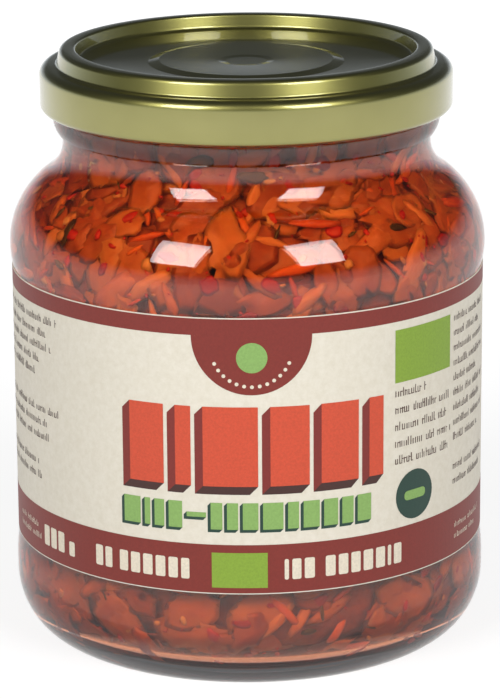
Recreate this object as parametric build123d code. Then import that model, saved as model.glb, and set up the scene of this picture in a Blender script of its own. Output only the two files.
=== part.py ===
"""Shut glass food jar: blown glass body, pressed steel lid, wrap-around paper label and its filling.

Millimetres, +Z up, origin at the centre of the ring that the jar stands on. The label's front
faces -Y. Every piece is turned about Z, so each one is drawn as a half section in X (radius)
and Z (height), then revolved.
"""

from build123d import *
import math
import os

# Glass body, outside
glass_height = 99.4         # standing ring to sealing rim
body_radius = 40.0          # heel ridge and shoulder ridge, which guard the label
panel_recess = 0.4          # how far the label panel sits in from the two ridges
heel_width = 8.6            # heel curve, from the standing ring out to the heel ridge
heel_height = 10.8          # heel curve, upwards
heel_ridge_z = 12.4
heel_blend = 5.2            # heel ridge to the panel's lower edge
shoulder_blend = 3.2        # panel's upper edge to the shoulder ridge
shoulder_radius = 14.4
neck_fillet = 6.4
neck_radius = 30.8
finish_height = 14.5        # waist of the neck to the sealing rim
foot_width = 1.0            # flat ring that the jar stands on
push_up = 2.5               # hollow under the base

# Glass finish, from the bead up
finish_inset = 0.5          # neck's waist to the outside of the finish
bead_width = 2.1            # outside of the finish to the bead's widest circle
bead_curve = 4.6
bead_drop = 10.2            # sealing rim down to the bead's widest circle
bead_depth = 2.5            # widest circle down to the bead's underside
bead_rise = 0.8             # widest circle up to the bead's top
bead_round = 0.5
rim_round = 0.8

# Glass body, inside
wall = 2.4
base_thickness = 3.6
inner_heel = 8.0
floor_crown = 1.3           # how much the floor rises towards the middle

# Lid
sheet = 0.25
seal_thickness = 0.85       # sealing compound under the crest
lid_clearance = 0.25        # lid to glass, where the lid dips inside the bore
lid_height = 10.15
thread_room = 1.95          # outside of the finish to the curl, where threads and lugs engage
shoulder_round = 1.6        # outer corner of the lid
crest_round = 0.9
crest_inner_round = 0.45
groove_round = 0.4          # between the crest's outside and the shoulder
press_round = 0.7           # every crease of the sunken panel
crest_width = 2.6
crest_flank = 0.6           # how far the crest's outside leans out on its way down
shoulder_drop = 2.7         # crest to the lid's shoulder
curl_radius = 1.1
panel_drop = 2.4            # crest to the edge of the sunken panel
recess_lean = 0.5
panel_dish = 0.3            # sag of the panel's outer part
step_radius = 16.3          # ring step round the raised middle
step_width = 1.8
step_rise = 0.4
middle_dish = 0.25
dimple_radius = 4.65
dimple_width = 1.2
dimple_depth = 0.15

# Label
paper = 0.1
label_margin = 0.3          # panel edge to paper edge
label_gap = 5.0             # bare strip between the label's two ends, at the back

# Filling
headspace = 6.0             # sealing rim down to the filling

# Heights and radii that follow from the sizes above
panel_radius = body_radius - panel_recess
foot_radius = body_radius - heel_width
neck_z = glass_height - finish_height
shoulder_centre_r = body_radius - shoulder_radius
neck_centre_r = neck_radius + neck_fillet
arc_reach = shoulder_radius + neck_fillet
arc_offset = neck_centre_r - shoulder_centre_r
shoulder_z = neck_z - math.sqrt(arc_reach**2 - arc_offset**2)
panel_bottom = heel_ridge_z + heel_blend
panel_top = shoulder_z - shoulder_blend
bore_radius = neck_radius - wall
finish_radius = neck_radius - finish_inset
bead_radius = finish_radius + bead_width
skirt_radius = finish_radius + thread_room + 2 * curl_radius
inner_radius = body_radius - wall
floor_edge_z = push_up + base_thickness - floor_crown
fill_z = glass_height - headspace
crest_z = glass_height + seal_thickness + sheet


def face_of(lines):
    """Face inside a closed run of lines, arcs and filleted outlines."""
    return make_face(Wire([edge for line in lines for edge in line.edges()]))


def section_of(lines):
    """Closed half section in the XZ plane from lines drawn as (radius, height)."""
    return Plane.XZ * face_of(lines)


def turned(section, angle=360.0):
    return revolve(section, Axis.Z, revolution_arc=angle)


def arc_about(centre, start, end):
    """Short arc about centre from start to end, through the point half-way round."""
    middle = Vector(start) + Vector(end) - 2 * Vector(centre)
    reach = (Vector(start) - Vector(centre)).length
    return ThreePointArc(start, Vector(centre) + middle.normalized() * reach, end)


def crowned(edge_radius, edge_z, rise):
    """Arc from a rim up to a level middle on the axis."""
    radius = (edge_radius**2 + rise**2) / (2 * rise)
    return arc_about((0, edge_z + rise - radius), (edge_radius, edge_z), (0, edge_z + rise))


def tangent_point(radius):
    """Where a wall at this radius about the shoulder's centre turns into the neck."""
    height = neck_z - shoulder_z
    share = radius / arc_reach
    return (shoulder_centre_r + arc_offset * share, shoulder_z + height * share)


def inside_edges(top_z):
    """Inner wall, from a height in the bore down to the middle of the floor."""
    heel_start = (inner_radius, floor_edge_z + inner_heel)
    heel_end = (inner_radius - inner_heel, floor_edge_z)
    turn = tangent_point(shoulder_radius - wall)
    neck_start = (bore_radius, neck_z)
    shoulder_end = (inner_radius, shoulder_z)
    return [
        Line((bore_radius, top_z), neck_start),
        arc_about((neck_centre_r, neck_z), neck_start, turn),
        arc_about((shoulder_centre_r, shoulder_z), turn, shoulder_end),
        Line(shoulder_end, heel_start),
        arc_about((heel_end[0], heel_start[1]), heel_start, heel_end),
        crowned(heel_end[0], floor_edge_z, floor_crown),
    ]


def outer_body_edges():
    """Outside of the glass, from under the base to the neck's ledge below the bead."""
    foot_inner = (foot_radius - foot_width, 0)
    heel_end = (body_radius, heel_height)
    ridge = (body_radius, heel_ridge_z)
    panel_low = (panel_radius, panel_bottom)
    panel_high = (panel_radius, panel_top)
    shoulder_ridge = (body_radius, shoulder_z)
    heel_arc = (heel_blend**2 + panel_recess**2) / (2 * panel_recess)
    shoulder_arc = (shoulder_blend**2 + panel_recess**2) / (2 * panel_recess)
    turn = tangent_point(shoulder_radius)
    ledge_z = glass_height - bead_drop - bead_depth
    ledge_lift = ledge_z - neck_z
    ledge = (neck_centre_r - math.sqrt(neck_fillet**2 - ledge_lift**2), ledge_z)
    bead_inset = bead_curve - math.sqrt(bead_curve**2 - bead_depth**2)
    bead_low = (bead_radius - bead_inset, ledge_z)
    bead_wide = (bead_radius, ledge_z + bead_depth)
    return [
        crowned(foot_inner[0], 0, push_up),
        Line(foot_inner, (foot_radius, 0)),
        EllipticalCenterArc((foot_radius, heel_height), heel_width, heel_height, 270, arc_size=90),
        Line(heel_end, ridge),
        arc_about((body_radius - heel_arc, heel_ridge_z), ridge, panel_low),
        Line(panel_low, panel_high),
        arc_about((body_radius - shoulder_arc, shoulder_z), panel_high, shoulder_ridge),
        arc_about((shoulder_centre_r, shoulder_z), shoulder_ridge, turn),
        arc_about((neck_centre_r, neck_z), turn, ledge),
        Line(ledge, bead_low),
        arc_about((bead_radius - bead_curve, bead_wide[1]), bead_low, bead_wide),
    ]


def finish_edges():
    """Outside of the mouth, from the bead's widest circle over the rim into the bore."""
    bead_z = glass_height - bead_drop
    bead_top = bead_z + bead_rise
    corners = [
        (bead_radius, bead_z),
        (bead_radius, bead_top),
        (finish_radius, bead_top),
        (finish_radius, glass_height),
        (bore_radius, glass_height),
        (bore_radius, fill_z),
    ]
    return [FilletPolyline(*corners, radius=[bead_round, bead_round, rim_round, rim_round])]


def glass_section():
    inside = inside_edges(fill_z)
    axis = Line((0, floor_edge_z + floor_crown), (0, push_up))
    return section_of(outer_body_edges() + finish_edges() + inside + [axis])


def filling_section():
    level = Line((0, fill_z), (bore_radius, fill_z))
    axis = Line((0, floor_edge_z + floor_crown), (0, fill_z))
    return section_of(inside_edges(fill_z) + [level, axis])


def label_section():
    height = panel_top - panel_bottom - 2 * label_margin
    middle_z = (panel_top + panel_bottom) / 2
    return Plane.XZ * Pos(panel_radius + paper / 2, middle_z) * Rectangle(paper, height)


def lid_corners():
    """Upper surface of the lid, from the middle to the skirt's lower end, with corner radii."""
    recess_radius = bore_radius - lid_clearance - sheet
    recess_z = crest_z - panel_drop
    step_foot_z = recess_z - panel_dish
    middle_edge_z = step_foot_z + step_rise
    middle_z = middle_edge_z - middle_dish
    crest_inner = recess_radius + recess_lean
    crest_outer = crest_inner + crest_width
    lid_shoulder_z = crest_z - shoulder_drop
    skirt_end_z = crest_z - lid_height + curl_radius
    corners = [
        (0, middle_z - dimple_depth),
        (dimple_radius - dimple_width, middle_z - dimple_depth),
        (dimple_radius, middle_z),
        (step_radius - step_width, middle_edge_z),
        (step_radius, step_foot_z),
        (recess_radius, recess_z),
        (crest_inner, crest_z),
        (crest_outer, crest_z),
        (crest_outer + crest_flank, lid_shoulder_z),
        (skirt_radius, lid_shoulder_z),
        (skirt_radius, skirt_end_z),
    ]
    radii = [press_round] * 5 + [crest_inner_round, crest_round, groove_round, shoulder_round]
    return corners, radii


def parallel(corners, radii, distance):
    """The same outline a distance below: mitred corners, with radii that keep the sheet even."""
    points = [Vector(corner) for corner in corners]
    runs = [(b - a).normalized() for a, b in zip(points, points[1:])]
    downs = [Vector(run.Y, -run.X) for run in runs]
    moved = [points[0] + downs[0] * distance]
    moved_radii = []
    for i, radius in enumerate(radii):
        bisector = (downs[i] + downs[i + 1]).normalized()
        moved.append(points[i + 1] + bisector * (distance / bisector.dot(downs[i])))
        turns_down = runs[i].cross(runs[i + 1]).Z < 0
        moved_radii.append(radius - distance if turns_down else radius + distance)
    moved.append(points[-1] + downs[-1] * distance)
    return moved, moved_radii


def lid_section():
    corners, radii = lid_corners()
    under, under_radii = parallel(corners, radii, sheet)
    skin = face_of([
        FilletPolyline(*corners, radius=radii),
        FilletPolyline(*under, radius=under_radii),
        Line(corners[0], under[0]),
        Line(corners[-1], under[-1]),
    ])
    curl_z = crest_z - lid_height + curl_radius
    curl = Pos(skirt_radius - curl_radius, curl_z) * Circle(curl_radius)
    seal_inner = bore_radius - lid_clearance + recess_lean
    seal_width = finish_radius - seal_inner
    seal_z = glass_height + seal_thickness / 2
    seal = Pos(seal_inner + seal_width / 2, seal_z) * Rectangle(seal_width, seal_thickness)
    return Plane.XZ * (skin + curl + seal)


def label_wrap():
    """Paper wrap that leaves a bare strip at the back, on +Y."""
    gap_angle = math.degrees(label_gap / panel_radius)
    return Rot(0, 0, 90 + gap_angle / 2) * turned(label_section(), 360 - gap_angle)


parts = {
    "glass_jar": turned(glass_section()),
    "kimchi": turned(filling_section()),
    "label": label_wrap(),
    "lid": turned(lid_section()),
}

os.makedirs("parts", exist_ok=True)
for name, part in parts.items():
    export_step(part, f"parts/{name}.step")
    print(name, "volume", round(part.volume), "mm3")

glass_density = 2.5e-3
filling_density = 1.02e-3
print("glass", round(parts["glass_jar"].volume * glass_density), "g")
print("filling", round(parts["kimchi"].volume * filling_density), "g")
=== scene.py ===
# %% [markdown]
# # A jar of kimchi
# The jar is blown glass with a pressed steel lid, a printed paper wrap and a red, wet filling.
# The solids that carry it come first, as a fixed frame, and every piece below is made to fit
# that frame. Lengths are written in millimetres and turned into metres by one value, because a
# jar is easier to think about in millimetres.

# %% Load the frame
import math
import random

import bmesh
import bpy
from mathutils import Matrix, Vector, noise


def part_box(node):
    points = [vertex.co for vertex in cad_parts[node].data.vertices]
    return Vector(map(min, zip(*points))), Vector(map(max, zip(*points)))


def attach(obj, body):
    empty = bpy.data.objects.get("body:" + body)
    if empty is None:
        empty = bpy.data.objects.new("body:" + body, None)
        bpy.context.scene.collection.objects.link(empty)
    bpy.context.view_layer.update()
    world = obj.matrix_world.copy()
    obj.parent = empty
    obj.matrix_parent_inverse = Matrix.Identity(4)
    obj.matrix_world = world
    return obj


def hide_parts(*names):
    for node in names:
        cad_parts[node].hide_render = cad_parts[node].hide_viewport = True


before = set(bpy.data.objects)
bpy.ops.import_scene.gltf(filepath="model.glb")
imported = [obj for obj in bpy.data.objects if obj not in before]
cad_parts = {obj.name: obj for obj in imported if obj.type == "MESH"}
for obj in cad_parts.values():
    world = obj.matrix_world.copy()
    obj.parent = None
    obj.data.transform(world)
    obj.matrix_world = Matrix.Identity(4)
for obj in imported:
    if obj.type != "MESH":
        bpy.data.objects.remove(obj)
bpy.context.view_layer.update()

MM = 0.001
glass_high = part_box("glass_jar")[1]
fill_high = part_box("kimchi")[1]
lid_low, lid_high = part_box("lid")
label_low, label_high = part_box("label")

body_radius = glass_high[0] / MM
glass_height = glass_high[2] / MM
inner_radius = fill_high[0] / MM
fill_z = fill_high[2] / MM
crest_z = lid_high[2] / MM
lid_bottom_z = lid_low[2] / MM
skirt_radius = lid_high[0] / MM
label_radius = label_high[0] / MM
label_bottom = label_low[2] / MM
label_top = label_high[2] / MM
wall = body_radius - inner_radius
print("jar", round(2 * body_radius, 1), "mm wide,", round(crest_z, 1), "mm high")

# %% [markdown]
# ## The camera
# A long lens from a little above flattens the jar the way a product picture does: the rings of
# lid and label stay narrow ellipses. The distance is about fourteen body radii, so the far rim is
# hardly smaller than the near one. A slight roll leans the jar by less than half a degree.

# %% Camera
view_distance = 573.5
view_height = 209.1
view_pitch = 15.702
view_roll = -0.419
long_side_mm = 36.0
focal_mm = 180.2
sideways_shift = 0.0026

camera_data = bpy.data.cameras.new("jar_camera")
camera_data.lens = focal_mm
camera_data.sensor_width = long_side_mm
camera_data.sensor_fit = "AUTO"
camera_data.shift_x = sideways_shift
camera_data.clip_start = 0.01
camera = bpy.data.objects.new("jar_camera", camera_data)
bpy.context.scene.collection.objects.link(camera)
look = Matrix.Rotation(math.radians(90 - view_pitch), 4, "X")
camera.matrix_world = (
    Matrix.Translation((0, -view_distance * MM, view_height * MM))
    @ look
    @ Matrix.Rotation(math.radians(view_roll), 4, "Z")
)
bpy.context.scene.camera = camera
bpy.context.scene.view_settings.view_transform = "Standard"
print("camera", [round(value, 3) for value in camera.location])

# %% [markdown]
# ## Building materials from nodes
# Every finish below starts from the Principled shader. One short helper makes the material and
# sets plain numbers on the shader's own sockets, and another adds a node and wires it, so that
# each finish reads as a list of what is special about it.


# %% Material helpers
class Finish:
    """A material with its Principled shader and short ways to add nodes."""

    def __init__(self, name, **sockets):
        self.material = bpy.data.materials.new(name)
        self.material.use_nodes = True
        self.tree = self.material.node_tree
        self.shader = self.tree.nodes["Principled BSDF"]
        self.output = self.tree.nodes["Material Output"]
        for socket, value in sockets.items():
            self.shader.inputs[socket.replace("_", " ")].default_value = value

    def node(self, kind, wires=None, **settings):
        """Adds a node; wires maps its inputs to sockets or to plain values."""
        made = self.tree.nodes.new(kind)
        for setting, value in settings.items():
            setattr(made, setting, value)
        for key, value in (wires or {}).items():
            if isinstance(value, bpy.types.NodeSocket):
                self.tree.links.new(value, made.inputs[key])
            else:
                made.inputs[key].default_value = value
        return made

    def wire(self, source, key):
        self.tree.links.new(source, self.shader.inputs[key])

    def noise(self, scale, detail=4.0, roughness=0.55, vector=None):
        vector = vector or self.node("ShaderNodeTexCoord").outputs["Object"]
        wires = {"Vector": vector, "Scale": scale, "Detail": detail, "Roughness": roughness}
        return self.node("ShaderNodeTexNoise", wires).outputs["Fac"]

    def ramp(self, factor, *stops):
        """Colour ramp through (position, colour) stops."""
        made = self.node("ShaderNodeValToRGB", {"Fac": factor})
        elements = made.color_ramp.elements
        while len(elements) < len(stops):
            elements.new(0.5)
        for element, (position, colour) in zip(elements, stops):
            element.position = position
            element.color = (*colour, 1.0)
        return made.outputs["Color"]

    def bump(self, height, distance, strength=1.0):
        wires = {"Height": height, "Distance": distance, "Strength": strength}
        made = self.node("ShaderNodeBump", wires)
        self.wire(made.outputs["Normal"], "Normal")

    def let_lamps_through(self, tint):
        """Shadow rays pass as through clear air, so lamps light what is inside the glass."""
        light_path = self.node("ShaderNodeLightPath")
        clear = self.node("ShaderNodeBsdfTransparent", {"Color": (*tint, 1.0)})
        mix = self.node("ShaderNodeMixShader", {0: light_path.outputs["Is Shadow Ray"]})
        self.tree.links.new(self.shader.outputs[0], mix.inputs[1])
        self.tree.links.new(clear.outputs[0], mix.inputs[2])
        self.tree.links.new(mix.outputs[0], self.output.inputs["Surface"])


def link_mesh(name, vertices, faces, finish, smooth=True):
    """Makes a mesh object in metres from points in millimetres."""
    mesh = bpy.data.meshes.new(name)
    mesh.from_pydata([[c * MM for c in point] for point in vertices], [], faces)
    mesh.validate()
    if smooth:
        mesh.shade_smooth()
    mesh.materials.append(finish.material)
    piece = bpy.data.objects.new(name, mesh)
    bpy.context.scene.collection.objects.link(piece)
    return piece


def belongs(piece, node=None):
    """Every piece stands still with the jar; a CAD node that it replaces is hidden."""
    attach(piece, "root")
    if node:
        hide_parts(node)


# %% [markdown]
# ## Turning shapes on a lathe
# Glass, lid and filling are all shapes of turning, so one lathe makes them. An outline is a
# list of radius and height. Corners are rounded before turning, as a press tool or a mould
# rounds them: a sharp corner would catch no light, while a small radius draws a bright line.


# %% Outline and lathe helpers
def arc(centre_r, centre_z, radius, start, end, steps=12):
    """Points on an arc, angles in degrees, 0 outwards and 90 upwards."""
    turns = [math.radians(start + (end - start) * i / steps) for i in range(steps + 1)]
    return [(centre_r + radius * math.cos(t), centre_z + radius * math.sin(t)) for t in turns]


def rounded(corners, radii, steps=8):
    """An outline with each inner corner replaced by a tangent arc of its radius."""
    points = [corners[0]]
    for before, corner, after, radius in zip(corners, corners[1:], corners[2:], radii):
        corner = Vector(corner)
        back = (Vector(before) - corner).normalized()
        on = (Vector(after) - corner).normalized()
        half = back.angle(on) / 2
        reach = radius / math.tan(half)
        centre = corner + (back + on).normalized() * (radius / math.sin(half))
        start = corner + back * reach - centre
        turn = start.angle_signed(corner + on * reach - centre)
        for i in range(steps + 1):
            spoke = start.copy()
            spoke.rotate(Matrix.Rotation(-turn * i / steps, 2))
            points.append(tuple(centre + spoke))
    points.append(corners[-1])
    return points


def ring_mesh(outline, segments):
    """Vertices and faces of an outline turned about the jar's axis."""
    vertices, rings = [], []
    for radius, height in outline:
        if radius < 1e-6:
            rings.append([len(vertices)] * segments)
            vertices.append((0.0, 0.0, height))
            continue
        rings.append(list(range(len(vertices), len(vertices) + segments)))
        for i in range(segments):
            turn = 2 * math.pi * i / segments
            vertices.append((radius * math.cos(turn), radius * math.sin(turn), height))
    faces = []
    for low, high in zip(rings, rings[1:]):
        for i in range(segments):
            j = (i + 1) % segments
            corners = [low[i], low[j], high[j], high[i]]
            face = [v for k, v in enumerate(corners) if v != corners[k - 1]]
            if len(face) > 2:
                faces.append(face)
    return vertices, faces


def lathe(name, outline, segments, finish, crease=35.0):
    """Turns an outline from the axis, round the outside, back to the axis or to its start."""
    vertices, faces = ring_mesh(outline, segments)
    piece = link_mesh(name, vertices, faces, finish)
    made = bmesh.new()
    made.from_mesh(piece.data)
    bmesh.ops.remove_doubles(made, verts=made.verts, dist=1e-7)
    bmesh.ops.recalc_face_normals(made, faces=made.faces)
    for edge in made.edges:
        if len(edge.link_faces) == 2 and edge.calc_face_angle(0) > math.radians(crease):
            edge.smooth = False
    made.to_mesh(piece.data)
    made.free()
    print(name, len(piece.data.polygons), "faces")
    return piece


# %% [markdown]
# ## The glass
# A jar of this kind has two ridges, one at the heel and one at the shoulder, which bump into
# the next jar on the line and spare the label between them. Above the shoulder a short concave
# neck turns up into a bead, and the plain mouth above that is hidden by the lid. The inside
# follows the outside at an even wall. The same arcs are used here as in the solids.

# %% Glass outline
panel_recess = 0.4
heel_width, heel_height = 8.6, 10.8
heel_ridge_z, heel_blend = 12.4, 5.2
shoulder_blend, shoulder_radius, neck_fillet = 3.2, 14.4, 6.4
neck_radius, finish_height = 30.8, 14.5
foot_width, push_up = 1.0, 2.5
bead_radius, bead_curve, bead_drop, bead_depth = 32.4, 4.6, 10.2, 2.5
bead_rise, bead_top_round, bead_foot_round = 0.8, 0.3, 0.4
finish_radius, rim_round = 30.3, 0.8
base_thickness, inner_heel, floor_crown = 3.6, 8.0, 1.3

foot_radius = body_radius - heel_width
neck_z = glass_height - finish_height
shoulder_r = body_radius - shoulder_radius
neck_r = neck_radius + neck_fillet
arc_rise = math.sqrt((shoulder_radius + neck_fillet) ** 2 - (neck_r - shoulder_r) ** 2)
shoulder_z = neck_z - arc_rise
turn_angle = math.degrees(math.atan2(arc_rise, neck_r - shoulder_r))
bore_radius = neck_radius - wall
floor_edge_z = push_up + base_thickness - floor_crown


def dome(edge_radius, edge_z, rise, steps=10):
    """A shallow dome's outline, from the axis out to its edge."""
    radius = (edge_radius**2 + rise**2) / (2 * rise)
    centre_z = edge_z + rise - radius
    spread = math.degrees(math.asin(edge_radius / radius))
    return arc(0, centre_z, radius, 90, 90 - spread, steps)


def blend_arc(ridge_z, length, towards):
    """The slow curve between a ridge and the label panel; towards is 1 upwards, -1 downwards."""
    radius = (length**2 + panel_recess**2) / (2 * panel_recess)
    spread = math.degrees(math.asin(length / radius)) * towards
    return arc(body_radius - radius, ridge_z, radius, 0, spread, 8)


heel_steps = 16


def glass_outside():
    heel = [
        (foot_radius + heel_width * math.cos(t), heel_height + heel_height * math.sin(t))
        for t in [math.radians(-90 + 90 * i / heel_steps) for i in range(heel_steps + 1)]
    ]
    ledge_z = glass_height - bead_drop - bead_depth
    ledge_turn = math.degrees(math.asin((ledge_z - neck_z) / neck_fillet))
    bead_turn = math.degrees(math.asin(bead_depth / bead_curve))
    bead_z = glass_height - bead_drop
    mouth = [
        (bead_radius, bead_z),
        (bead_radius, bead_z + bead_rise),
        (finish_radius, bead_z + bead_rise),
        (finish_radius, glass_height),
        (bore_radius, glass_height),
        (bore_radius, neck_z),
    ]
    return (
        dome(foot_radius - foot_width, 0, push_up)
        + heel
        + blend_arc(heel_ridge_z, heel_blend, 1)
        + blend_arc(shoulder_z, shoulder_blend, -1)[::-1]
        + arc(shoulder_r, shoulder_z, shoulder_radius, 0, turn_angle, 24)
        + arc(neck_r, neck_z, neck_fillet, 180 + turn_angle, 180 - ledge_turn, 16)
        + arc(bead_radius - bead_curve, bead_z, bead_curve, -bead_turn, 0, 6)
        + rounded(mouth, [bead_top_round, bead_foot_round, rim_round, rim_round])[1:]
    )


def glass_inside(offset=0.0):
    """The inner wall from the bore down to the middle of the floor, moved out by offset."""
    heel_z = floor_edge_z + inner_heel
    return (
        [(bore_radius + offset, fill_z)]
        + arc(neck_r, neck_z, neck_fillet + wall - offset, 180, 180 + turn_angle, 12)
        + arc(shoulder_r, shoulder_z, shoulder_radius - wall + offset, turn_angle, 0, 20)
        + arc(inner_radius - inner_heel, heel_z, inner_heel + offset, 0, -90, 12)
        + dome(inner_radius - inner_heel, floor_edge_z - offset, floor_crown)[::-1][1:]
    )


clear_glass = Finish(
    "clear_glass",
    Base_Color=(0.97, 0.985, 0.975, 1.0),
    Roughness=0.0,
    IOR=1.5,
    Transmission_Weight=1.0,
)
clear_glass.let_lamps_through((0.95, 0.96, 0.95))
jar_glass = lathe("jar_glass", glass_outside() + glass_inside()[1:], 192, clear_glass)
belongs(jar_glass, "glass_jar")

# %% [markdown]
# ## The juice
# Fermented cabbage stands in its own juice, a thin red liquid. Rendered glass and liquid that
# only touch leave a film of air that shines like mercury, so the juice reaches a little way
# into the glass wall. The eye then looks through glass and juice as if they were one.

# %% Juice
juice_reach = 0.12
juice = Finish(
    "red_juice",
    Base_Color=(0.58, 0.16, 0.045, 1.0),
    Roughness=0.0,
    IOR=1.35,
    Transmission_Weight=1.0,
)
juice.let_lamps_through((0.75, 0.42, 0.22))
juice_outline = [(0.0, fill_z)] + glass_inside(juice_reach)
juice_body = lathe("juice", juice_outline, 160, juice)
belongs(juice_body, "kimchi")

# %% [markdown]
# ## Packing the jar
# Kimchi is pressed into the jar, so its pieces lie flat against the wall, overlap like tiles
# and bend with the glass. Each piece is therefore drawn in the wall's own coordinates: how far
# up the wall, how far round, and how deep behind it. A flake drawn flat in these coordinates
# follows shoulder, side and heel by itself. All flakes of a kind are joined into one mesh.


# %% The wall's own coordinates
def resample(outline, step=0.5):
    """Points along an outline at an even spacing, with the run length up to each."""
    runs, total = [0.0], 0.0
    for a, b in zip(outline, outline[1:]):
        total += math.dist(a, b)
        runs.append(total)
    points, index = [], 0
    count = int(total / step)
    for i in range(count + 1):
        run = total * i / count
        while index < len(runs) - 2 and runs[index + 1] < run:
            index += 1
        share = (run - runs[index]) / max(runs[index + 1] - runs[index], 1e-9)
        a, b = outline[index], outline[index + 1]
        points.append((a[0] + (b[0] - a[0]) * share, a[1] + (b[1] - a[1]) * share))
    return points, total


wall_points, wall_length = resample(glass_inside()[::-1])
print("wall from floor to fill line", round(wall_length, 1), "mm")


def wall_at(run):
    """Radius, height and outward direction of the wall at a distance up from the floor."""
    place = min(max(run / wall_length, 0.0), 0.9999) * (len(wall_points) - 1)
    index = int(place)
    share = place - index
    a, b = wall_points[index], wall_points[index + 1]
    along = Vector((b[0] - a[0], b[1] - a[1])).normalized()
    return a[0] + (b[0] - a[0]) * share, a[1] + (b[1] - a[1]) * share, along.y, -along.x


def behind_wall(run, turn, depth):
    """The point that lies depth behind the wall; turn is the angle from the label's middle."""
    radius, height, out_r, out_z = wall_at(run)
    radius -= out_r * depth
    height -= out_z * depth
    return (radius * math.sin(turn), -radius * math.cos(turn), height)


def run_at_height(height):
    """Distance up the wall at which it reaches a height, on the outer part of the jar."""
    for i, (radius, z) in enumerate(wall_points):
        if z >= height and radius > inner_radius / 2:
            return i / (len(wall_points) - 1) * wall_length
    return wall_length


# %% [markdown]
# ## The imported mass
# Behind the first layers the filling reads as one dark, lumpy red-brown mass; its colour is made
# darker than the pieces in front as painted shade for the depth of the filling. It is a lathe
# shape a few millimetres behind the wall, pushed in and out by noise so that light catches it
# unevenly.

# %% Core of the filling
mass = Finish("packed_mass", Roughness=0.45, Subsurface_Weight=0.25)
mass.shader.inputs["Subsurface Radius"].default_value = (1.0, 0.35, 0.15)
mass.shader.inputs["Subsurface Scale"].default_value = 1.5 * MM
lumps = mass.noise(220.0, 6.0, 0.65)
# Painted shade: this ramp runs darker than the flake colours because the mass lies deeper in the
# filling.
shaded_mass_colour = mass.ramp(
    lumps,
    (0.28, (0.10, 0.012, 0.003)),
    (0.45, (0.26, 0.045, 0.008)),
    (0.60, (0.42, 0.105, 0.018)),
    (0.78, (0.58, 0.20, 0.045)),
)
mass.wire(shaded_mass_colour, "Base Color")
mass.bump(mass.noise(420.0, 5.0, 0.6), 0.6 * MM)

core_depth = 1.9
core_rings = 150
core_runs = [wall_length * i / core_rings for i in range(core_rings + 1)]
core_segments = 240
core_vertices, core_faces = [], []
for run in core_runs:
    for i in range(core_segments):
        turn = 2 * math.pi * i / core_segments
        spot = Vector(behind_wall(run, turn, core_depth))
        relief = noise.noise(spot * 0.22) * 0.9 + noise.noise(spot * 0.6) * 0.5
        core_vertices.append(behind_wall(run, turn, core_depth + relief))
for ring in range(len(core_runs) - 1):
    for i in range(core_segments):
        j = (i + 1) % core_segments
        low, high = ring * core_segments, (ring + 1) * core_segments
        core_faces.append((low + i, low + j, high + j, high + i))
core_faces.append(tuple(range(core_segments))[::-1])
core_faces.append(tuple(range(len(core_vertices) - core_segments, len(core_vertices))))
core = link_mesh("kimchi_core", core_vertices, core_faces, mass)
belongs(core)
print("core", len(core_faces), "faces")


# %% [markdown]
# ## Cut vegetables
# A flake starts as a disc of rings and spokes. Its edge is made uneven, it is stretched to its
# length and width, turned, and rippled in depth; a back face closes it, so it is a thin solid
# and not a paper shape. Leaves, ribs, carrot strips and pepper bits differ only in these
# numbers and in their colours.


# %% Flakes pressed against the wall
def add_flake(vertices, faces, rng, run, turn, depth, length, width, thick, ripple, rings, spokes):
    heading = rng.uniform(0, math.pi)
    seed = Vector((rng.uniform(0, 99), rng.uniform(0, 99), rng.uniform(0, 99)))
    cos_h, sin_h = math.cos(heading), math.sin(heading)
    radius = max(wall_at(run)[0], 5.0)
    for side in (-1, 1):
        start = len(vertices)
        for ring in range(rings + 1):
            share = ring / rings
            count = spokes if ring else 1
            for i in range(count):
                spoke = 2 * math.pi * i / spokes
                edge = 1 + 0.32 * noise.noise(seed + Vector((math.cos(spoke), math.sin(spoke), 0)) * 1.6)
                along = share * edge * length / 2 * math.cos(spoke)
                across = share * edge * width / 2 * math.sin(spoke)
                step_round = along * cos_h - across * sin_h
                step_up = along * sin_h + across * cos_h
                wave = noise.noise(seed + Vector((along, across, 0)) * 0.33)
                inset = depth + ripple * wave - side * thick / 2 * (1 - share**3)
                place = behind_wall(run + step_up, turn + step_round / radius, max(inset, -0.10))
                vertices.append(place)
        for ring in range(rings):
            for i in range(spokes):
                j = (i + 1) % spokes
                if ring == 0:
                    face = (start, start + 1 + i, start + 1 + j)
                else:
                    low = start + 1 + (ring - 1) * spokes
                    face = (low + i, low + spokes + i, low + spokes + j, low + j)
                faces.append(face if side > 0 else face[::-1])


def pack_flakes(name, finish, count, seed, size, aspect, thick, ripple, depth, rings=3, spokes=14):
    """Scatters flakes where the glass is bare: the shoulder, the heel and the label's gap."""
    rng = random.Random(seed)
    vertices, faces = [], []
    shoulder_run = run_at_height(label_top - 4)
    heel_run = run_at_height(label_bottom + 2)
    foot_run = inner_radius - inner_heel - 8
    for i in range(count):
        turn = rng.uniform(-math.pi, math.pi)
        if i % 20 == 0:
            run = rng.uniform(heel_run, shoulder_run)
            turn = math.pi + rng.uniform(-0.15, 0.15)
        elif i % 20 < 13:
            run = rng.uniform(shoulder_run, wall_length)
        else:
            run = rng.uniform(foot_run, heel_run)
        length = rng.uniform(*size)
        width = length * rng.uniform(*aspect)
        add_flake(
            vertices, faces, rng, run, turn, rng.uniform(*depth), length, width,
            thick, ripple, rings, spokes,
        )
    piece = link_mesh(name, vertices, faces, finish)
    made = bmesh.new()
    made.from_mesh(piece.data)
    bmesh.ops.remove_doubles(made, verts=made.verts, dist=2e-6)
    bmesh.ops.recalc_face_normals(made, faces=made.faces)
    made.to_mesh(piece.data)
    made.free()
    belongs(piece)
    print(name, len(piece.data.polygons), "faces")
    return piece


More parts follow.
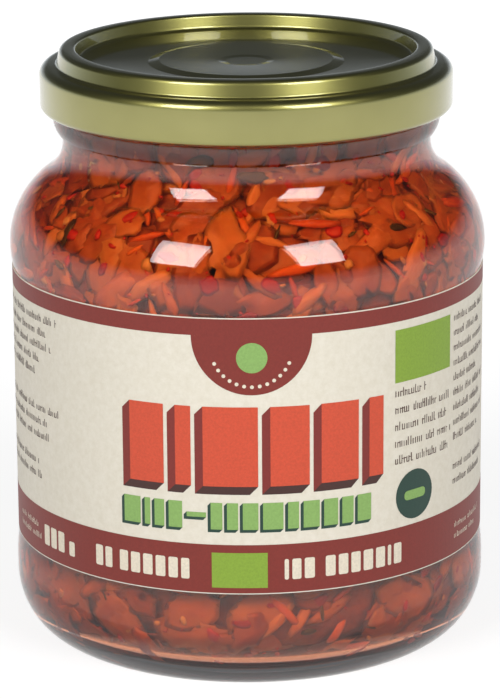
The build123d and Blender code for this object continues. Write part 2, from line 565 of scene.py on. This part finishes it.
def vegetable(name, dark, middle, light, grain=900.0, see_through=0.35):
    """Wet vegetable: colour varies from piece to piece and along fine fibres."""
    finish = Finish(name, Roughness=0.35, Subsurface_Weight=see_through)
    finish.shader.inputs["Subsurface Radius"].default_value = (1.0, 0.45, 0.2)
    finish.shader.inputs["Subsurface Scale"].default_value = 1.2 * MM
    each = finish.node("ShaderNodeNewGeometry").outputs["Random Per Island"]
    spots = finish.noise(grain, 4.0, 0.6)
    mixed = finish.node(
        "ShaderNodeMath", {0: each, 1: spots}, operation="ADD", use_clamp=False
    ).outputs[0]
    halved = finish.node("ShaderNodeMath", {0: mixed, 1: 0.5}, operation="MULTIPLY").outputs[0]
    colour = finish.ramp(halved, (0.18, dark), (0.48, middle), (0.80, light))
    finish.wire(colour, "Base Color")
    finish.bump(spots, 0.15 * MM, 0.6)
    return finish


leaf_finish = vegetable(
    "cabbage_leaf", (0.30, 0.055, 0.010), (0.52, 0.16, 0.028), (0.68, 0.30, 0.075), 420.0
)
rib_finish = vegetable(
    "cabbage_rib", (0.48, 0.14, 0.03), (0.66, 0.27, 0.07), (0.80, 0.44, 0.16), 650.0
)
carrot_finish = vegetable(
    "carrot", (0.62, 0.10, 0.012), (0.76, 0.18, 0.02), (0.85, 0.28, 0.04)
)
pepper_finish = vegetable(
    "red_pepper", (0.30, 0.008, 0.004), (0.52, 0.02, 0.008), (0.66, 0.05, 0.015)
)
scallion_finish = vegetable(
    "scallion", (0.035, 0.030, 0.008), (0.10, 0.085, 0.018), (0.22, 0.17, 0.04)
)
garlic_finish = vegetable(
    "garlic", (0.62, 0.34, 0.12), (0.76, 0.50, 0.22), (0.86, 0.66, 0.36)
)

pack_flakes("cabbage_leaf", leaf_finish, 560, 11, (6, 15), (0.4, 0.8), 0.35, 1.1, (0.25, 1.7), 4, 18)
pack_flakes("cabbage_rib", rib_finish, 230, 12, (5, 12), (0.18, 0.4), 1.1, 0.7, (0.35, 1.5), 3, 16)
pack_flakes("carrot_strip", carrot_finish, 150, 13, (3, 9), (0.14, 0.3), 0.9, 0.4, (0.3, 1.2))
pack_flakes("pepper_bit", pepper_finish, 260, 14, (1.2, 3.6), (0.45, 0.9), 0.6, 0.3, (0.1, 0.9))
pack_flakes("scallion_bit", scallion_finish, 110, 15, (1.5, 5), (0.15, 0.5), 0.5, 0.3, (0.1, 1.0))
pack_flakes("garlic_bit", garlic_finish, 120, 16, (0.8, 2.4), (0.5, 0.9), 0.5, 0.2, (0.05, 0.8), 2, 10)
pack_flakes("chilli_flake", pepper_finish, 500, 17, (0.35, 1.0), (0.4, 0.9), 0.2, 0.1, (0.0, 0.5), 1, 7)

# %% [markdown]
# ## The lid
# A twist-off lid is pressed from thin steel: a crest that holds the seal over the rim, a sunken
# panel, a ring step with the safety button inside it, and a skirt whose end is curled in. The
# vacuum pulls the panel down a little, so each part of it is slightly dished. The outline lists
# the corners of that press tool, and the radii round them.

# %% Lid outline
sheet = 0.25
lid_clearance = 0.25
recess_lean = 0.5
panel_drop, panel_dish = 2.4, 0.3
step_inner, step_outer, step_rise = 14.5, 16.3, 0.4
middle_dish = 0.25
dimple_inner, dimple_outer, dimple_depth = 3.45, 4.65, 0.15
crest_width, crest_flank = 2.6, 0.6
shoulder_drop, inner_bevel = 2.7, 1.0
curl_start, curl_end = 0, -230
recess_radius = bore_radius - lid_clearance - sheet
recess_z = crest_z - panel_drop
step_foot_z = recess_z - panel_dish
middle_edge_z = step_foot_z + step_rise
middle_z = middle_edge_z - middle_dish
dimple_z = middle_z - dimple_depth
crest_inner = recess_radius + recess_lean
crest_outer = crest_inner + crest_width
flank_radius = crest_outer + crest_flank
lid_shoulder_z = crest_z - shoulder_drop
curl_radius = 1.1
curl_z = lid_bottom_z + curl_radius

lid_corners = [
    (0, dimple_z),
    (dimple_inner, dimple_z),
    (dimple_outer, middle_z),
    (step_inner, middle_edge_z),
    (step_outer, step_foot_z),
    (recess_radius, recess_z),
    (crest_inner, crest_z),
    (crest_outer, crest_z),
    (flank_radius, lid_shoulder_z),
    (skirt_radius, lid_shoulder_z),
    (skirt_radius, curl_z),
]
press_round, crest_inner_round, crest_round = 0.7, 0.45, 0.9
groove_round, shoulder_round = 0.4, 1.6
lid_rounds = [press_round] * 5 + [crest_inner_round, crest_round, groove_round, shoulder_round]
lid_top = rounded(lid_corners, lid_rounds)
lid_under = [
    (skirt_radius - sheet, curl_z + curl_radius),
    (skirt_radius - sheet, lid_shoulder_z - sheet - inner_bevel),
    (skirt_radius - sheet - inner_bevel, lid_shoulder_z - sheet),
    (flank_radius - sheet, lid_shoulder_z - sheet),
    (crest_outer - sheet, glass_height),
    (crest_inner, glass_height),
    (recess_radius + sheet, recess_z - sheet),
    (step_outer, step_foot_z - sheet),
    (0, dimple_z - sheet),
]
curl = arc(skirt_radius - curl_radius, curl_z, curl_radius, curl_start, curl_end, 20)
lid_outline = lid_top + curl[1:] + lid_under

gold = Finish(
    "gold_lacquer",
    Metallic=1.0,
    Roughness=0.34,
    Coat_Weight=1.0,
    Coat_Roughness=0.04,
    Coat_IOR=1.5,
)
lacquer_clouds = gold.noise(60.0, 3.0)
gold.wire(
    gold.ramp(lacquer_clouds, (0.3, (0.28, 0.262, 0.080)), (0.7, (0.33, 0.308, 0.100))),
    "Base Color",
)
gold.bump(gold.noise(9000.0, 2.0), 0.004 * MM, 0.5)
lid = lathe("lid_pressed", lid_outline, 256, gold)
belongs(lid, "lid")

# %% [markdown]
# ## The paper wrap
# The label is one strip of coated paper glued round the panel, with a narrow bare gap at the
# back. Printing is a stack of flat ink fields. Each field is drawn flat, as an outline of
# distance round the jar and height, then cut into narrow strips and bent onto the paper, a few
# hundredths of a millimetre above the layer before. No lettering is printed: bars and blocks
# keep the places, weights and colours of the print.

# %% Paper
paper = Finish("label_paper", Roughness=0.55)
paper_clouds = paper.noise(900.0, 6.0, 0.7)
paper.wire(
    paper.ramp(paper_clouds, (0.35, (0.735, 0.680, 0.560)), (0.65, (0.800, 0.750, 0.640))),
    "Base Color",
)
paper.bump(paper_clouds, 0.01 * MM, 0.5)

paper_thickness = 0.1
label_gap = 5.0
gap_half = label_gap / (body_radius - panel_recess) / 2
paper_steps = 180


def paper_strip():
    vertices, faces = [], []
    for i in range(paper_steps + 1):
        turn = -math.pi + gap_half + (2 * math.pi - 2 * gap_half) * i / paper_steps
        for radius in (label_radius - paper_thickness, label_radius):
            for height in (label_bottom, label_top):
                vertices.append((radius * math.sin(turn), -radius * math.cos(turn), height))
    for i in range(paper_steps):
        a, b = 4 * i, 4 * (i + 1)
        faces += [(a + 2, b + 2, b + 3, a + 3), (a, a + 1, b + 1, b)]
        faces += [(a + 1, a + 3, b + 3, b + 1), (a, b, b + 2, a + 2)]
    last = 4 * paper_steps
    faces += [(0, 2, 3, 1), (last, last + 1, last + 3, last + 2)]
    return vertices, faces


label_paper = link_mesh("label_paper", *paper_strip(), paper, smooth=False)
belongs(label_paper, "label")

# %% [markdown]
# ### Printing by bending flat outlines
# A printed field could be painted by a mask in the paper's material, but a mask needs a picture
# or much arithmetic. A thin mesh for each colour keeps sharp edges at any distance, and its
# outline stays a few plain numbers.


# %% Ink fields
def ink(name, colour, mottle=0.08):
    """Printed ink on paper: nearly flat colour with a fine speckle."""
    finish = Finish(name, Roughness=0.5)
    speckle = finish.noise(2600.0, 3.0, 0.7)
    darker = tuple(c * (1 - mottle) for c in colour)
    lighter = tuple(min(c * (1 + mottle), 1.0) for c in colour)
    finish.wire(finish.ramp(speckle, (0.35, darker), (0.65, lighter)), "Base Color")
    return finish


layer_gap = 0.02
strip_width = 1.2


def print_fields(name, outlines, layer, finish):
    """Bends flat outlines, lists of (distance round, height), onto the paper."""
    made = bmesh.new()
    for outline in outlines:
        made.faces.new([made.verts.new((x, z, 0)) for x, z in outline])
    bmesh.ops.triangulate(made, faces=made.faces[:])
    low = min(v.co.x for v in made.verts)
    high = max(v.co.x for v in made.verts)
    cut = math.floor(low / strip_width) * strip_width + strip_width
    while cut < high:
        everything = made.verts[:] + made.edges[:] + made.faces[:]
        bmesh.ops.bisect_plane(made, geom=everything, plane_co=(cut, 0, 0), plane_no=(1, 0, 0))
        cut += strip_width
    radius = label_radius + layer * layer_gap
    for v in made.verts:
        turn = v.co.x / label_radius
        v.co = Vector((radius * math.sin(turn), -radius * math.cos(turn), v.co.y)) * MM
    bmesh.ops.recalc_face_normals(made, faces=made.faces)
    for face in made.faces:
        if face.normal.xy.dot(face.calc_center_median().xy) < 0:
            face.normal_flip()
    mesh = bpy.data.meshes.new(name)
    made.to_mesh(mesh)
    made.free()
    mesh.materials.append(finish.material)
    piece = bpy.data.objects.new(name, mesh)
    bpy.context.scene.collection.objects.link(piece)
    belongs(piece)
    print(name, len(mesh.polygons), "faces")
    return piece


def bar(left, bottom, right, top):
    return [(left, bottom), (right, bottom), (right, top), (left, top)]


def soft_bar(left, bottom, right, top, radius):
    """A bar with rounded corners."""
    corners = [(right - radius, top - radius, 0), (left + radius, top - radius, 90),
               (left + radius, bottom + radius, 180), (right - radius, bottom + radius, 270)]
    return [p for x, z, start in corners for p in arc(x, z, radius, start, start + 90, 5)]


dark_red = ink("dark_red_ink", (0.205, 0.022, 0.014))
cream = ink("cream_ink", (0.78, 0.70, 0.56))
red_orange = ink("red_orange_ink", (0.62, 0.075, 0.030))
side_red = ink("side_red_ink", (0.20, 0.020, 0.014))
under_brown = ink("under_brown_ink", (0.050, 0.014, 0.010))
leaf_green = ink("leaf_green_ink", (0.245, 0.42, 0.115))
deep_green = ink("deep_green_ink", (0.010, 0.045, 0.030))
bright_green = ink("bright_green_ink", (0.235, 0.37, 0.035))
text_brown = ink("text_brown_ink", (0.075, 0.030, 0.022))

half_round = math.pi * label_radius - label_gap / 2
edge_line = 0.18
top_band = 61.2
bottom_band = 26.3
tab_middle, tab_radius = 0.55, 9.75
bands = [
    bar(-half_round, top_band, half_round, label_top - edge_line),
    bar(-half_round, label_bottom + edge_line, half_round, bottom_band),
    arc(tab_middle, top_band, tab_radius, 180, 360, 36),
]
print_fields("print_bands", bands, 1, dark_red)

# %% [markdown]
# ## Blocks with a shadow
# The front carries two rows of heavy type with a drawn shadow to the lower left. Upright blocks
# in the same rhythm stand in for it. The shadow of a block is the block swept along one slanted
# direction: a dark side on its left and a darker one below.

# %% Title and second row
title_top, title_bottom = 49.45, 36.15
title_widths = [6.0, 2.6, 8.9, 6.4, 6.5, 2.7]
title_gap = 1.98
title_left = -20.0
title_sweep = 1.35
second_top, second_bottom = 33.4, 28.9
second_widths = [3.0, 1.0, 1.7, 2.3, 3.2, 1.9, 1.8, 2.5, 3.3, 1.8, 2.7, 2.4, 2.0, 2.5]
second_gap = 0.75
second_sweep = 0.5
dash_index = 4


def row_of_blocks(left, widths, gap, bottom, top):
    blocks = []
    for width in widths:
        blocks.append((left, bottom, left + width, top))
        left += width + gap
    return blocks


def swept_sides(blocks, sweep):
    return [
        [(l, b), (l, t), (l - sweep, t - sweep), (l - sweep, b - sweep)] for l, b, r, t in blocks
    ]


def swept_undersides(blocks, sweep):
    return [
        [(l, b), (l - sweep, b - sweep), (r - sweep, b - sweep), (r, b)] for l, b, r, t in blocks
    ]


title = row_of_blocks(title_left, title_widths, title_gap, title_bottom, title_top)
print_fields("print_title_side", swept_sides(title, title_sweep), 1, side_red)
print_fields("print_title_under", swept_undersides(title, title_sweep), 1, under_brown)
print_fields("print_title", [bar(*block) for block in title], 2, red_orange)

second = row_of_blocks(-21.2, second_widths, second_gap, second_bottom, second_top)
dash_left, _, dash_right, _ = second[dash_index]
second[dash_index] = (dash_left, 30.9, dash_right, 31.7)
second_shadow = swept_sides(second, second_sweep) + swept_undersides(second, second_sweep)
print_fields("print_second_shadow", second_shadow, 1, deep_green)
print_fields("print_second", [bar(*block) for block in second], 2, leaf_green)

# %% [markdown]
# ## The rest of the print
# Round the front lie a green field at the upper right and another in the lower band, a dark
# green roundel, and columns of small print. Small print is drawn as rows of fine upright
# strokes of uneven height with gaps where words would end, which reads as print and says
# nothing.

# %% Fields, roundel and tab
print_fields(
    "print_green_fields",
    [bar(25.35, 50.95, 39.0, 59.8), bar(-6.15, 19.0, 2.9, 24.95)],
    2,
    bright_green,
)
print_fields("print_roundel", [arc(29.8, 31.4, 4.2, 0, 350, 35)], 2, deep_green)
print_fields("print_roundel_bar", [soft_bar(27.4, 30.6, 32.2, 32.2, 0.7)], 3, leaf_green)
print_fields("print_tab_disc", [arc(tab_middle, 57.6, 2.5, 0, 350, 35)], 2, leaf_green)

tab_dots = [
    arc(tab_middle + 6.6 * math.cos(t), 59.4 + 6.6 * math.sin(t), 0.32, 0, 320, 8)
    for t in [math.radians(-155 + 130 * i / 12) for i in range(13)]
]
print_fields("print_tab_dots", tab_dots, 2, cream)

# %% Cream blocks in the lower band
band_low, band_high = 20.25, 23.75
first_words = row_of_blocks(-27.2, [1.5, 1.4], 0.5, band_low, band_high)
first_words += row_of_blocks(-22.3, [1.6, 1.7, 1.7, 1.7, 1.6, 1.4], 0.55, band_low, band_high)
last_words = row_of_blocks(5.65, [0.7, 1.5, 1.7], 0.55, band_low, band_high)
last_words += row_of_blocks(12.5, [1.7, 1.7, 1.7, 1.8, 1.8, 0.7, 1.6], 0.55, band_low, band_high)
weight_blocks = row_of_blocks(-41.0, [1.7, 1.7, 1.7], 0.5, band_low, band_high)
weight_blocks += [(-33.6, 20.2, -32.2, 22.7)]
cream_blocks = first_words + last_words + weight_blocks
print_fields("print_band_blocks", [soft_bar(*block, 0.3) for block in cream_blocks], 2, cream)


# %% Small print
def small_print(rng, left, right, base, height):
    """One row of strokes between two distances round the jar."""
    strokes, place, word_end = [], left, left + rng.uniform(3, 7)
    while place < right:
        if place > word_end:
            place += 0.7
            word_end = place + rng.uniform(2, 7)
        tall = height * rng.choice((0.62, 0.66, 0.70, 1.0))
        width = rng.uniform(0.13, 0.2)
        strokes.append(bar(place, base, place + width, base + tall))
        if rng.random() < 0.4:
            level = base + rng.choice((0.0, 0.5 * height))
            strokes.append(bar(place + width, level, place + width + 0.3, level + 0.14))
        place += width + rng.uniform(0.22, 0.42)
    return strokes


def column(rng, left, ends, top, pitch, height):
    strokes = []
    for i, end in enumerate(ends):
        if end > left:
            strokes += small_print(rng, left, end, top - i * pitch, height)
    return strokes


print_rng = random.Random(5)
strokes = column(print_rng, 25.4, [32.0, 38.7, 37.5, 38.6, 38.5], 48.6, 2.85, 1.45)
strokes += column(print_rng, 40.3, [54, 52, 55, 55, 50, 55, 53, 55, 51, 0, 55, 53], 58.4, 2.55, 1.3)
strokes += column(print_rng, -60.0, [-36.2, -39.6, -38, -42, -43.4, -60], 58.6, 2.35, 1.3)
strokes += column(print_rng, -60.0, [-36, -39.6, -39, -60, -42.8, -41.8], 43.2, 2.35, 1.3)
strokes += column(print_rng, 62.0, [84, 80, 86, 82, 62, 85, 83, 86, 62, 80], 58.4, 2.9, 1.3)
strokes += column(print_rng, -88.0, [-66, -70, -64, -66, -88, -65, -67, -72], 58.4, 2.9, 1.3)
print_fields("print_small", strokes, 2, text_brown)

band_strokes = column(print_rng, -52.0, [-43.5, -42.2], 22.6, 1.9, 1.0)
band_strokes += column(print_rng, 41.0, [52, 50], 22.6, 1.9, 1.0)
print_fields("print_band_small", band_strokes, 2, cream)

# %% [markdown]
# ## Light and floor
# A product picture of glass wants large soft sources: here two from the front sides, which give
# the pair of soft spots on the glass. Little comes from above, so the lid's panel stays dark
# from the front. The camera sees a backdrop that is white all over. Metal and glass see one that
# is white at the horizon and dark above, because a jar inside an all-white tent loses its shape.

# %% World
world = bpy.data.worlds.new("studio")
bpy.context.scene.world = world
world.use_nodes = True
nodes, links = world.node_tree.nodes, world.node_tree.links
background = nodes["Background"]
background.inputs["Color"].default_value = (1.0, 1.0, 1.0, 1.0)
path = nodes.new("ShaderNodeLightPath")
coords = nodes.new("ShaderNodeTexCoord")
split = nodes.new("ShaderNodeSeparateXYZ")
links.new(coords.outputs["Generated"], split.inputs[0])
sky = nodes.new("ShaderNodeValToRGB")
sky.color_ramp.elements[0].position = 0.0
sky.color_ramp.elements[0].color = (0.86, 0.93, 1.0, 1.0)
sky.color_ramp.elements[1].position = 0.2
sky.color_ramp.elements[1].color = (0.05, 0.055, 0.06, 1.0)
links.new(split.outputs["Z"], sky.inputs["Fac"])
ambient = nodes.new("ShaderNodeBackground")
ambient.inputs["Color"].default_value = (1.0, 1.0, 1.0, 1.0)
ambient.inputs["Strength"].default_value = 0.2
backdrop = nodes.new("ShaderNodeBackground")
links.new(sky.outputs["Color"], backdrop.inputs["Color"])
mirrored = nodes.new("ShaderNodeMath")
mirrored.operation = "MAXIMUM"
links.new(path.outputs["Is Glossy Ray"], mirrored.inputs[0])
links.new(path.outputs["Is Transmission Ray"], mirrored.inputs[1])
unseen = nodes.new("ShaderNodeMixShader")
links.new(mirrored.outputs[0], unseen.inputs[0])
links.new(ambient.outputs[0], unseen.inputs[1])
links.new(backdrop.outputs[0], unseen.inputs[2])
pick = nodes.new("ShaderNodeMixShader")
links.new(path.outputs["Is Camera Ray"], pick.inputs[0])
links.new(unseen.outputs[0], pick.inputs[1])
links.new(background.outputs[0], pick.inputs[2])
links.new(pick.outputs[0], nodes["World Output"].inputs["Surface"])

# %% [markdown]
# ### The two soft boxes
# Both stand at the same distance and height, one each side, and aim at the middle of the jar.
# Their power is set so that a colour on the label renders about as it is written.


# %% Lamps
def softbox(name, place, aim, width, height, watts):
    data = bpy.data.lights.new(name, "AREA")
    data.shape = "RECTANGLE"
    data.size = width
    data.size_y = height
    data.energy = watts
    lamp = bpy.data.objects.new(name, data)
    bpy.context.scene.collection.objects.link(lamp)
    lamp.location = place
    lamp.rotation_euler = (Vector(aim) - Vector(place)).to_track_quat("-Z", "Y").to_euler()
    return lamp


middle = (0, 0, 50 * MM)
lamp_distance = 0.8
lamp_turn = math.radians(37)
lamp_rise = math.radians(36)
lamp_watts = 3.3
box_width, box_height = 0.30, 0.38
for name, side in (("left_box", -1), ("right_box", 1)):
    level = lamp_distance * math.cos(lamp_rise)
    place = (
        side * level * math.sin(lamp_turn),
        -level * math.cos(lamp_turn),
        middle[2] + lamp_distance * math.sin(lamp_rise),
    )
    softbox(name, place, middle, box_width, box_height, lamp_watts)
print("lamps", lamp_watts, "W each,", lamp_distance, "m from the jar")

# %% [markdown]
# ### The floor
# The floor has two faces. To light that bounces it is pale paper. To the camera, to glossy rays
# and to rays through the glass it is a dim diffuse sheet with a glow added, so it shows white
# and still keeps the jar's shadow. The glow rises with distance, so no grey horizon shows.

# %% Floor
white_from, white_by = 0.08, 0.45
near_white = 0.80
floor_finish = Finish("pale_floor", Base_Color=(0.82, 0.82, 0.82, 1.0), Roughness=0.9)
floor_path = floor_finish.node("ShaderNodeLightPath")
floor_place = floor_finish.node("ShaderNodeTexCoord").outputs["Object"]
reach = floor_finish.node("ShaderNodeVectorMath", {0: floor_place}, operation="LENGTH")
whiter = floor_finish.node(
    "ShaderNodeMapRange",
    {
        "Value": reach.outputs["Value"],
        "From Min": white_from,
        "From Max": white_by,
        "To Min": near_white,
        "To Max": 1.0,
    },
)
white = floor_finish.node(
    "ShaderNodeEmission", {"Color": (1, 1, 1, 1), "Strength": whiter.outputs["Result"]}
)
dimmed = floor_finish.node("ShaderNodeBsdfDiffuse", {"Color": (0.28, 0.28, 0.28, 1.0)})
shown = floor_finish.node("ShaderNodeAddShader", {0: white.outputs[0], 1: dimmed.outputs[0]})
floor_mirrored = floor_finish.node(
    "ShaderNodeMath",
    {0: floor_path.outputs["Is Glossy Ray"], 1: floor_path.outputs["Is Transmission Ray"]},
    operation="MAXIMUM",
)
floor_seen = floor_finish.node(
    "ShaderNodeMath",
    {0: floor_path.outputs["Is Camera Ray"], 1: floor_mirrored.outputs[0]},
    operation="MAXIMUM",
)
floor_mix = floor_finish.node("ShaderNodeMixShader", {0: floor_seen.outputs[0]})
floor_finish.tree.links.new(floor_finish.shader.outputs[0], floor_mix.inputs[1])
floor_finish.tree.links.new(shown.outputs[0], floor_mix.inputs[2])
floor_finish.tree.links.new(floor_mix.outputs[0], floor_finish.output.inputs["Surface"])
floor_half = 4000.0
floor = link_mesh(
    "studio_floor",
    [(-floor_half, -floor_half, 0), (floor_half, -floor_half, 0),
     (floor_half, floor_half, 0), (-floor_half, floor_half, 0)],
    [(0, 1, 2, 3)],
    floor_finish,
)
